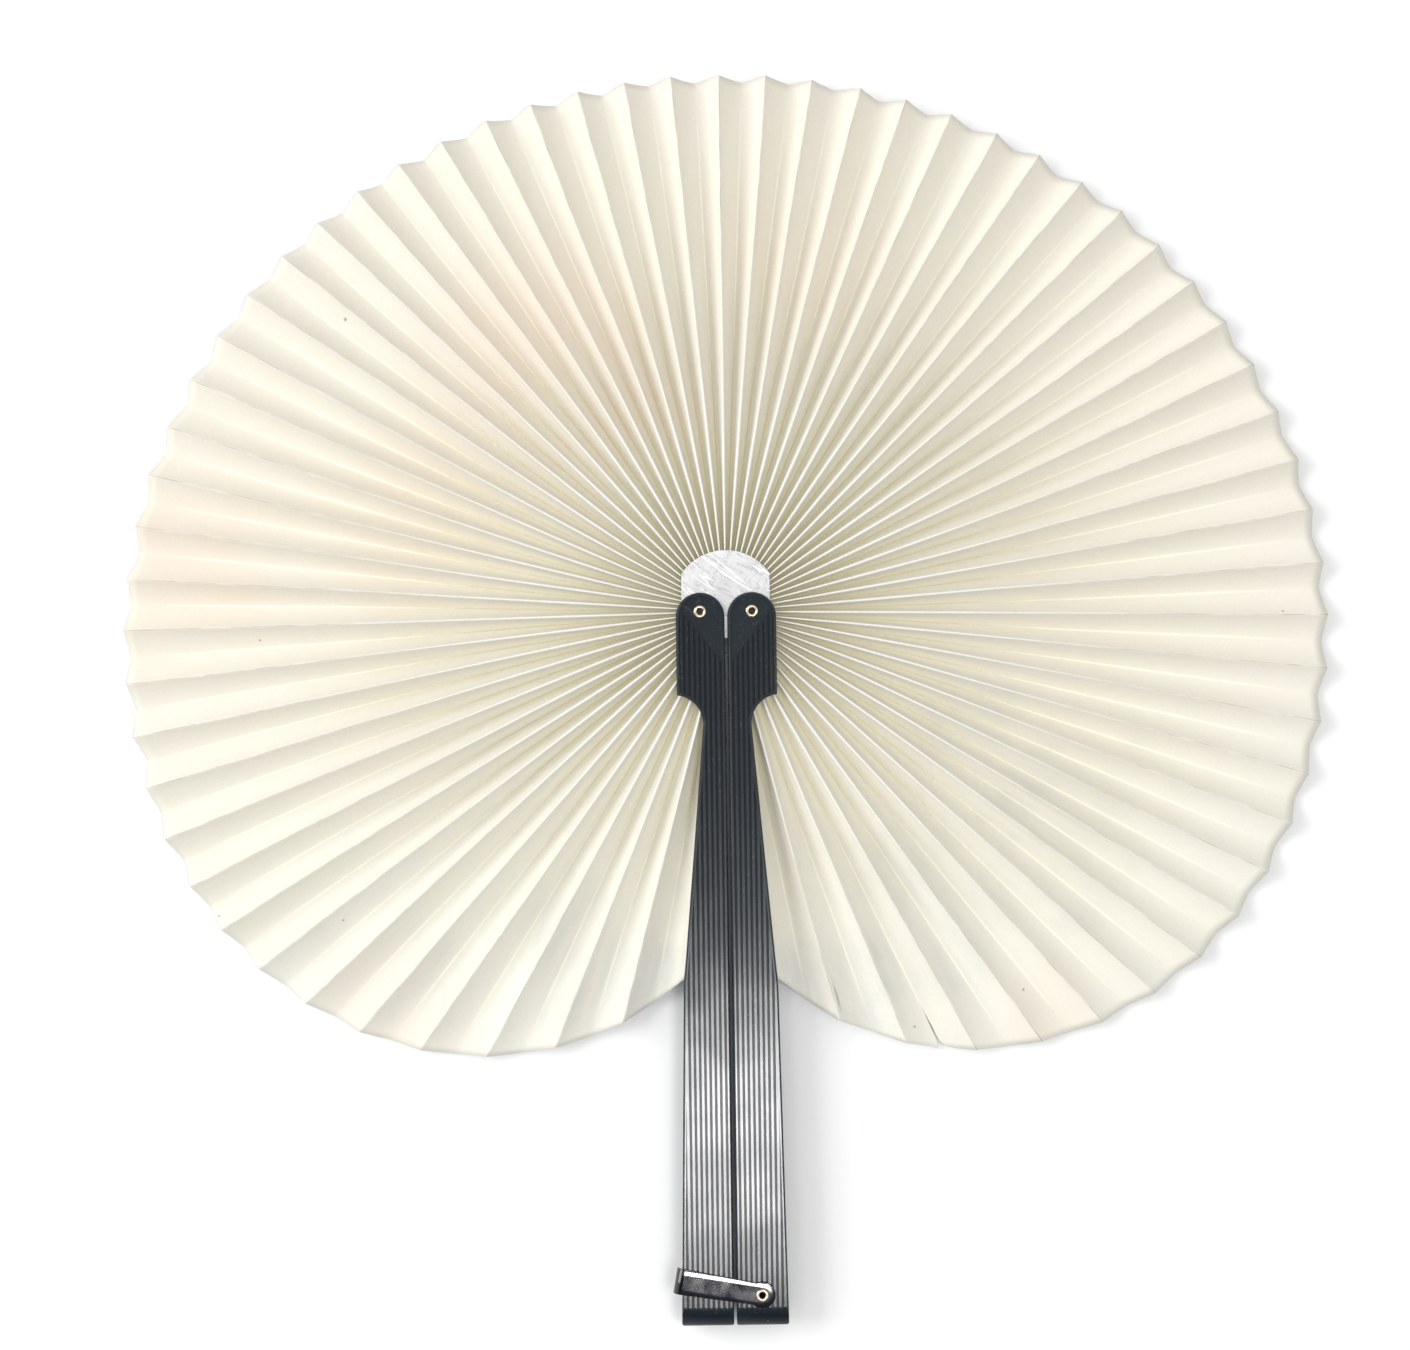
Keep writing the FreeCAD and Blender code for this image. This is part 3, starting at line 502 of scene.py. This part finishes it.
cream_paper = make_cream_paper()
for side, leaf_half in make_paper_leaf().items():
    leaf_half.data.materials.append(cream_paper)
    arm = f"{side}_arm"
    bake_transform(leaf_half, "hub", arm, start=HUB, end=HUB - Vector((0, TOP_RADIUS, 0)))
    # The folds gather in proportion to their angle from the top fold
    turns = leaf_half.data.attributes["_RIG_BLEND"]
    for vertex, held in zip(leaf_half.data.vertices, turns.data):
        angle = math.degrees(math.atan2(abs(vertex.co.x - HUB.x), vertex.co.y - HUB.y))
        held.value = min(angle / END_ANGLE, 1.0)
    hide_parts("paper_leaf")

# Front and back plates. Each is stamped from thin sheet metal with a round top, and the two long
# eyelets rivet it to the other over the hub. The front one is worn silver-white and scratched.
SILVER, SILVER_DULL, SCRATCH_GREY = (0.70, 0.70, 0.705), (0.57, 0.57, 0.575), (0.36, 0.36, 0.37)
SCRATCH_BRIGHT = (0.97, 0.97, 0.97)
# Direction, fineness, width and share of the plate for each set of fine scratches
GREY_SCRATCHES = ((0.5, 900, 0.02, 0.55), (2.2, 700, 0.015, 0.5), (1.2, 1100, 0.02, 0.42))


def make_scratched_silver():
    material, tree, shader = new_material("scratched_silver", Metallic=0.25, Roughness=0.45)
    place = add_node(tree, "ShaderNodeTexCoord").outputs["Object"]
    dull = use_group(tree, MOTTLE, Vector=place, Scale=160.0, Contrast=2.0)
    colour = tinted(tree, math_node(tree, "MULTIPLY", dull, 0.5), SILVER, SILVER_DULL)
    marks = None
    for angle, scale, width, share in GREY_SCRATCHES:
        mark = use_group(tree, SCRATCHES, Vector=place, Angle=angle, Scale=scale, Width=width, Share=share)
        marks = math_node(tree, "MAXIMUM", marks, mark) if marks else mark
    pale = use_group(tree, SCRATCHES, Vector=place, Angle=0.62, Scale=420.0, Width=0.012, Share=0.6)
    colour = tinted(tree, math_node(tree, "MULTIPLY", marks, 0.45), colour, SCRATCH_GREY)
    colour = tinted(tree, math_node(tree, "MULTIPLY", pale, 0.8), colour, SCRATCH_BRIGHT)
    pits = use_group(tree, SPECKS, Vector=place, Scale=900.0, Size=0.2, Share=0.12)
    colour = tinted(tree, math_node(tree, "MULTIPLY", pits, 0.6), colour, SCRATCH_GREY)
    relief = math_node(tree, "SUBTRACT", pale, marks)
    bump = add_node(tree, "ShaderNodeBump", {"Strength": 0.5, "Distance": 0.03 * MM, "Height": relief})
    tree.links.new(colour, shader.inputs["Base Color"])
    tree.links.new(ranged(tree, dull, 0.0, 1.0, 0.4, 0.6), shader.inputs["Roughness"])
    tree.links.new(bump.outputs[0], shader.inputs["Normal"])
    return material


def finish_node(node, material, edge=0.0):
    """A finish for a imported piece, with its sharp edges broken by a small bevel."""
    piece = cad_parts[node]
    for holder in piece.material_slots:
        holder.material = material
    if edge:
        weld = piece.modifiers.new("joined_faces", "WELD")
        weld.merge_threshold = 0.002 * MM
        bevel = piece.modifiers.new("broken_edges", "BEVEL")
        bevel.width = edge
        bevel.segments = 2
        bevel.limit_method = "ANGLE"
        bevel.angle_limit = math.radians(35)
        bevel.harden_normals = True


scratched_silver = make_scratched_silver()
for node in ("front_plate", "back_plate"):
    finish_node(node, scratched_silver, edge=0.05 * MM)

# Arms. Each is one ribbed strip of blue-black plastic, moulded flat and folded in a U at its foot,
# so that the two together close into a case round the folded leaf. They turn on the hub's eyelets.
PLASTIC, PLASTIC_WORN, DUST_GREY = (0.006, 0.011, 0.017), (0.012, 0.020, 0.028), (0.40, 0.42, 0.44)
CASE_MIDDLE, GROOVE_FLOOR = (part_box("right_arm")[0].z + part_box("right_arm")[1].z) / 2, 4.2 * MM


def make_ribbed_plastic():
    material, tree, shader = new_material(
        "blue_black_plastic", Roughness=0.5, Specular_IOR_Level=0.1, Coat_Roughness=0.15,
    )
    place = add_node(tree, "ShaderNodeTexCoord").outputs["Object"]
    height = add_node(tree, "ShaderNodeSeparateXYZ", {0: place}).outputs["Z"]
    off_middle = math_node(tree, "ABSOLUTE", math_node(tree, "SUBTRACT", height, CASE_MIDDLE))
    polished = ranged(tree, off_middle, GROOVE_FLOOR + 0.01 * MM, GROOVE_FLOOR + 0.04 * MM)
    wear = use_group(tree, MOTTLE, Vector=place, Scale=70.0, Contrast=2.5)
    colour = tinted(tree, math_node(tree, "MULTIPLY", wear, 0.6), PLASTIC, PLASTIC_WORN)
    rubbed = use_group(tree, SCRATCHES, Vector=place, Angle=math.pi / 2, Scale=1500.0, Stretch=30.0,
                       Width=0.02, Share=0.42)
    knocks = use_group(tree, SCRATCHES, Vector=place, Angle=0.4, Scale=500.0, Width=0.006, Share=0.38)
    marks = math_node(tree, "MULTIPLY", math_node(tree, "MAXIMUM", rubbed, knocks), polished)
    colour = tinted(tree, math_node(tree, "MULTIPLY", marks, 0.07), colour, DUST_GREY)
    dust = use_group(tree, SPECKS, Vector=place, Scale=600.0, Size=0.1, Share=0.03)
    colour = tinted(tree, math_node(tree, "MULTIPLY", dust, 0.3), colour, DUST_GREY)
    skin = add_node(tree, "ShaderNodeTexNoise", {"Vector": place, "Scale": 900.0, "Detail": 3.0})
    relief = math_node(tree, "SUBTRACT", math_node(tree, "MULTIPLY", skin.outputs["Fac"], 0.5), marks)
    bump = add_node(tree, "ShaderNodeBump", {"Strength": 0.2, "Distance": 0.02 * MM, "Height": relief})
    # The ribs and the borders are rubbed glossy, and the grooves stay duller
    gloss = math_node(tree, "MULTIPLY", ranged(tree, polished, 0.0, 1.0, 0.2, 1.0),
                      ranged(tree, wear, 0.0, 1.0, 0.75, 0.5))
    tree.links.new(colour, shader.inputs["Base Color"])
    tree.links.new(gloss, shader.inputs["Coat Weight"])
    tree.links.new(bump.outputs[0], shader.inputs["Normal"])
    return material


blue_black_plastic = make_ribbed_plastic()
for node in ("left_arm", "right_arm"):
    finish_node(node, blue_black_plastic, edge=0.09 * MM)

# Eyelets. Two long brass ones rivet the hub and carry the arms, and a short one carries the clasp.
# Each is a drawn tube with both ends rolled over, bright on the lip and brown inside the bore.
BORE_RADIUS, BARREL_RADIUS, FLANGE_RADIUS, LIP_HEIGHT = 0.65 * MM, 0.95 * MM, 1.3 * MM, 0.24 * MM
BRASS, BRASS_PALE, TARNISH = (0.50, 0.40, 0.27), (0.66, 0.59, 0.48), (0.16, 0.11, 0.07)
EYELET_SIDES, LIP_STEPS = 48, 8


def make_brass():
    material, tree, shader = new_material("brass", Metallic=1.0, Roughness=0.3)
    place = add_node(tree, "ShaderNodeTexCoord").outputs["Object"]
    cloud = use_group(tree, MOTTLE, Vector=place, Scale=900.0, Contrast=2.4)
    colour = tinted(tree, cloud, BRASS, BRASS_PALE)
    stains = use_group(tree, SPECKS, Vector=place, Scale=1500.0, Size=0.3, Share=0.2)
    colour = tinted(tree, math_node(tree, "MULTIPLY", stains, 0.6), colour, TARNISH)
    rubs = use_group(tree, SCRATCHES, Vector=place, Angle=0.8, Scale=2600.0, Width=0.03)
    colour = tinted(tree, math_node(tree, "MULTIPLY", rubs, 0.3), colour, BRASS_PALE)
    bore = add_node(tree, "ShaderNodeUVMap", uv_map="profile").outputs[0]
    inside = add_node(tree, "ShaderNodeSeparateXYZ", {0: bore}).outputs["X"]
    colour = tinted(tree, math_node(tree, "MULTIPLY", inside, 0.85), colour, TARNISH)
    bump = add_node(tree, "ShaderNodeBump", {"Strength": 0.3, "Distance": 0.02 * MM, "Height": cloud})
    tree.links.new(colour, shader.inputs["Base Color"])
    tree.links.new(ranged(tree, cloud, 0.0, 1.0, 0.22, 0.4), shader.inputs["Roughness"])
    tree.links.new(bump.outputs[0], shader.inputs["Normal"])
    return material


def eyelet_profile(low, high):
    """Radius, height and share of tarnish down the outside, round both lips and up the bore."""
    middle = (BORE_RADIUS + FLANGE_RADIUS) / 2
    reach = FLANGE_RADIUS - middle

    def lip(seat, way):
        turns = [math.pi * step / LIP_STEPS for step in range(LIP_STEPS + 1)]
        return [(middle + reach * math.cos(turn), seat + way * LIP_HEIGHT * math.sin(turn), 0.0)
                for turn in turns]

    upper, lower = lip(high, 1), lip(low, -1)
    bore = [(BORE_RADIUS, high - 0.3 * MM, 1.0), (BORE_RADIUS, low + 0.3 * MM, 1.0)]
    barrel = [(BARREL_RADIUS, low, 0.0), (BARREL_RADIUS, high, 0.0)]
    return upper + bore + lower[::-1] + barrel


def make_turned(name, profile, centre, material):
    """A ring turned about an upright axis through a centre."""
    mesh = bpy.data.meshes.new(name)
    points, polygons, shares = [], [], []
    count = len(profile)
    for side in range(EYELET_SIDES):
        turn = 2 * math.pi * side / EYELET_SIDES
        for radius, height, tarnish in profile:
            points.append((centre.x + radius * math.cos(turn), centre.y + radius * math.sin(turn), height))
            shares.append(tarnish)
        for step in range(count):
            here, there = side * count, (side + 1) % EYELET_SIDES * count
            after = (step + 1) % count
            polygons.append((here + step, here + after, there + after, there + step))
    mesh.from_pydata(points, [], polygons)
    mesh.shade_smooth()
    profile_map = mesh.uv_layers.new(name="profile")
    for loop in mesh.loops:
        profile_map.data[loop.index].uv = (shares[loop.vertex_index], 0.5)
    made = bpy.data.objects.new(name, mesh)
    made.data.materials.append(material)
    bpy.context.collection.objects.link(made)
    return made


brass = make_brass()
for node, body in (
    ("left_pivot_eyelet", "hub"), ("right_pivot_eyelet", "hub"), ("clasp_eyelet", "right_arm"),
):
    low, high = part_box(node)
    profile = eyelet_profile(low.z + LIP_HEIGHT, high.z - LIP_HEIGHT)
    ring = make_turned(f"{node}_turned", profile, (low + high) / 2, brass)
    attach(ring, body)
    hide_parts(node)

# Clasp. A flat strip of sheet metal in glossy black enamel, pierced at its round end for the short
# eyelet. The other end is curled down to hook over the outer edge of the left arm.
ENAMEL, ENAMEL_CLOUD, CHIP = (0.004, 0.005, 0.010), (0.009, 0.009, 0.018), (0.30, 0.30, 0.32)
CLASP_TILT, CLASP_FLAT, CLASP_CROWN = math.radians(10.0), 1.45 * MM, 35.0
CLASP_PIVOT = (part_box("clasp_eyelet")[0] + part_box("clasp_eyelet")[1]) / 2


def make_black_enamel():
    material, tree, shader = new_material(
        "black_enamel", Roughness=0.08, Coat_Weight=0.6, Coat_Roughness=0.04,
    )
    place = add_node(tree, "ShaderNodeTexCoord").outputs["Object"]
    cloud = use_group(tree, MOTTLE, Vector=place, Scale=250.0, Contrast=2.0)
    colour = tinted(tree, cloud, ENAMEL, ENAMEL_CLOUD)
    chips = use_group(tree, SPECKS, Vector=place, Scale=900.0, Size=0.1, Share=0.06)
    rubs = use_group(tree, SCRATCHES, Vector=place, Angle=0.3, Scale=800.0, Width=0.006, Share=0.4)
    marks = math_node(tree, "MAXIMUM", chips, rubs)
    colour = tinted(tree, math_node(tree, "MULTIPLY", marks, 0.12), colour, CHIP)
    # The strip is crowned: it falls away towards both of its long edges
    turned = add_node(tree, "ShaderNodeVectorRotate",
                      {"Vector": place, "Center": CLASP_PIVOT, "Angle": CLASP_TILT}, rotation_type="Z_AXIS")
    spot = add_node(tree, "ShaderNodeSeparateXYZ", {0: turned.outputs[0]}).outputs
    across = math_node(tree, "SUBTRACT", spot["Y"], CLASP_PIVOT.y)
    past = math_node(tree, "MAXIMUM", math_node(tree, "SUBTRACT", spot["X"], CLASP_PIVOT.x), 0.0)
    away = add_node(tree, "ShaderNodeVectorMath", operation="LENGTH", inputs={
        0: add_node(tree, "ShaderNodeCombineXYZ", {"X": past, "Y": across}).outputs[0],
    }).outputs["Value"]
    fall = math_node(tree, "MAXIMUM", math_node(tree, "SUBTRACT", away, CLASP_FLAT), 0.0)
    crown = math_node(tree, "MULTIPLY", math_node(tree, "MULTIPLY", fall, fall), -CLASP_CROWN)
    wave = add_node(tree, "ShaderNodeTexNoise", {"Vector": place, "Scale": 180.0, "Detail": 2.0})
    uneven = math_node(tree, "MULTIPLY", wave.outputs["Fac"], 0.008 * MM)
    form = math_node(tree, "ADD", crown, uneven)
    bump = add_node(tree, "ShaderNodeBump", {"Distance": 1.0, "Height": form})
    tree.links.new(colour, shader.inputs["Base Color"])
    tree.links.new(ranged(tree, cloud, 0.0, 1.0, 0.05, 0.1), shader.inputs["Roughness"])
    tree.links.new(bump.outputs[0], shader.inputs["Normal"])
    return material


finish_node("clasp", make_black_enamel(), edge=0.12 * MM)

# Binding thread. A ring of two-ply cotton that runs through all the pleats near their inner ends
# and gathers them round the hub. It lies between the two plates.
COTTON, COTTON_SHADE = (0.80, 0.77, 0.70), (0.55, 0.51, 0.44)


def make_cotton():
    material, tree, shader = new_material("cotton_thread", Roughness=0.9, Sheen_Weight=0.3)
    place = add_node(tree, "ShaderNodeTexCoord").outputs["Object"]
    twist = add_node(tree, "ShaderNodeTexWave", {"Vector": place, "Scale": 700.0, "Distortion": 2.0})
    # The darker bands along the twist are painted shade in the grooves between the plies
    colour = tinted(tree, twist.outputs["Fac"], COTTON_SHADE, COTTON)
    bump = add_node(tree, "ShaderNodeBump", {"Distance": 0.05 * MM, "Height": twist.outputs["Fac"]})
    tree.links.new(colour, shader.inputs["Base Color"])
    tree.links.new(bump.outputs[0], shader.inputs["Normal"])
    return material


finish_node("binding_thread", make_cotton())

# Table, light and camera. A plain white table stands under a broad soft window light from the left and
# a small lamp overhead, beside which a second one shows only in gloss. The camera looks straight down,
# rolled a little as in the photograph, and the room above it is dark where gloss reflects it.
TABLE_SIZE, CAMERA_HEIGHT, PICTURE_WIDTH = 6.0, 0.65, 0.2961
PICTURE_CENTRE = (-4.5 * MM, 5.2 * MM)
CAMERA_ROLL = math.radians(-0.8)
DARK_AIM, DARK_WITHIN, LIGHT_BEYOND = (0.0, -0.5, 0.866), 0.78, 0.60
ROOM_LIGHT, DARKEST, ROOM_WHITE = 0.62, 0.05, (1.0, 0.995, 0.98, 1.0)
TABLE_LIT, TABLE_SEEN, NO_LIGHT = (0.86, 0.87, 0.88), (0.985, 0.995, 1.0), (0.0, 0.0, 0.0)
SHADOW_LIFT, BACKDROP_START, BACKDROP_END = (0.03, 0.031, 0.032), 0.25, 0.9
BACKDROP_WHITE = (1.0, 1.0, 1.0)
WINDOW_PLACE, WINDOW_SIZE, WINDOW_POWER = (-1.9, 0.5, 1.25), (1.7, 1.5), 34.0
CEILING_PLACE, CEILING_SIZE, CEILING_POWER = (0.30, -0.10, 1.25), (0.3, 0.3), 3.4
GLOSS_PLACE, GLOSS_SIZE, GLOSS_POWER = (0.03, -0.28, 1.30), (0.22, 0.13), 4.9


def make_table():
    bpy.ops.mesh.primitive_plane_add(size=TABLE_SIZE)
    table = bpy.context.object
    table.name = "table_top"
    material, tree, shader = new_material(
        "white_table", Roughness=0.9, Specular_IOR_Level=0.2, Emission_Strength=1.0,
    )
    path = add_node(tree, "ShaderNodeLightPath").outputs
    seen = math_node(tree, "MAXIMUM", path["Is Camera Ray"], path["Is Glossy Ray"])
    colour = tinted(tree, seen, TABLE_LIT, TABLE_SEEN)
    # Far from the fan the table fades into the white background
    place = add_node(tree, "ShaderNodeTexCoord").outputs["Object"]
    away = add_node(tree, "ShaderNodeVectorMath", {0: place}, operation="LENGTH").outputs["Value"]
    far = ranged(tree, away, BACKDROP_START, BACKDROP_END)
    backdrop = tinted(tree, far, SHADOW_LIFT, BACKDROP_WHITE)
    lift = tinted(tree, seen, NO_LIGHT, backdrop)
    tree.links.new(colour, shader.inputs["Base Color"])
    tree.links.new(lift, shader.inputs["Emission Color"])
    material.cycles.emission_sampling = "NONE"
    table.data.materials.append(material)


def make_world():
    world = bpy.data.worlds.new("soft_room")
    world.use_nodes = True
    tree = world.node_tree
    path = add_node(tree, "ShaderNodeLightPath").outputs
    way = add_node(tree, "ShaderNodeTexCoord").outputs["Generated"]
    to_dark = add_node(tree, "ShaderNodeVectorMath", {0: way, 1: DARK_AIM}, operation="DOT_PRODUCT")
    room = ranged(tree, to_dark.outputs["Value"], DARK_WITHIN, LIGHT_BEYOND, DARKEST, 1.0)
    lit = add_node(tree, "ShaderNodeMix", {0: path["Is Glossy Ray"], 2: ROOM_LIGHT, 3: room})
    seen = add_node(tree, "ShaderNodeMix", {0: path["Is Camera Ray"], 2: lit.outputs[0], 3: 1.0})
    background = tree.nodes["Background"]
    background.inputs["Color"].default_value = ROOM_WHITE
    tree.links.new(seen.outputs[0], background.inputs["Strength"])
    bpy.context.scene.world = world


def make_lamp(name, place, size, power, reflected_only=False):
    """A soft rectangular lamp that points at the middle of the fan."""
    lamp = bpy.data.lights.new(name, "AREA")
    lamp.shape = "RECTANGLE"
    lamp.size, lamp.size_y = size
    lamp.energy = power
    holder = bpy.data.objects.new(name, lamp)
    holder.location = place
    holder.rotation_euler = (-Vector(place)).to_track_quat("-Z", "Y").to_euler()
    holder.visible_diffuse = not reflected_only
    bpy.context.collection.objects.link(holder)


def make_camera():
    camera = bpy.data.cameras.new("overhead")
    camera.sensor_fit = "HORIZONTAL"
    camera.angle = 2 * math.atan(PICTURE_WIDTH / 2 / CAMERA_HEIGHT)
    holder = bpy.data.objects.new("overhead", camera)
    holder.location = (*PICTURE_CENTRE, CAMERA_HEIGHT)
    holder.rotation_euler = (0.0, 0.0, CAMERA_ROLL)
    bpy.context.collection.objects.link(holder)
    bpy.context.scene.camera = holder


make_table()
make_world()
make_lamp("window_left", WINDOW_PLACE, WINDOW_SIZE, WINDOW_POWER)
make_lamp("ceiling_light", CEILING_PLACE, CEILING_SIZE, CEILING_POWER)
make_lamp("ceiling_gloss", GLOSS_PLACE, GLOSS_SIZE, GLOSS_POWER, reflected_only=True)
make_camera()
bpy.context.scene.view_settings.view_transform = "Standard"
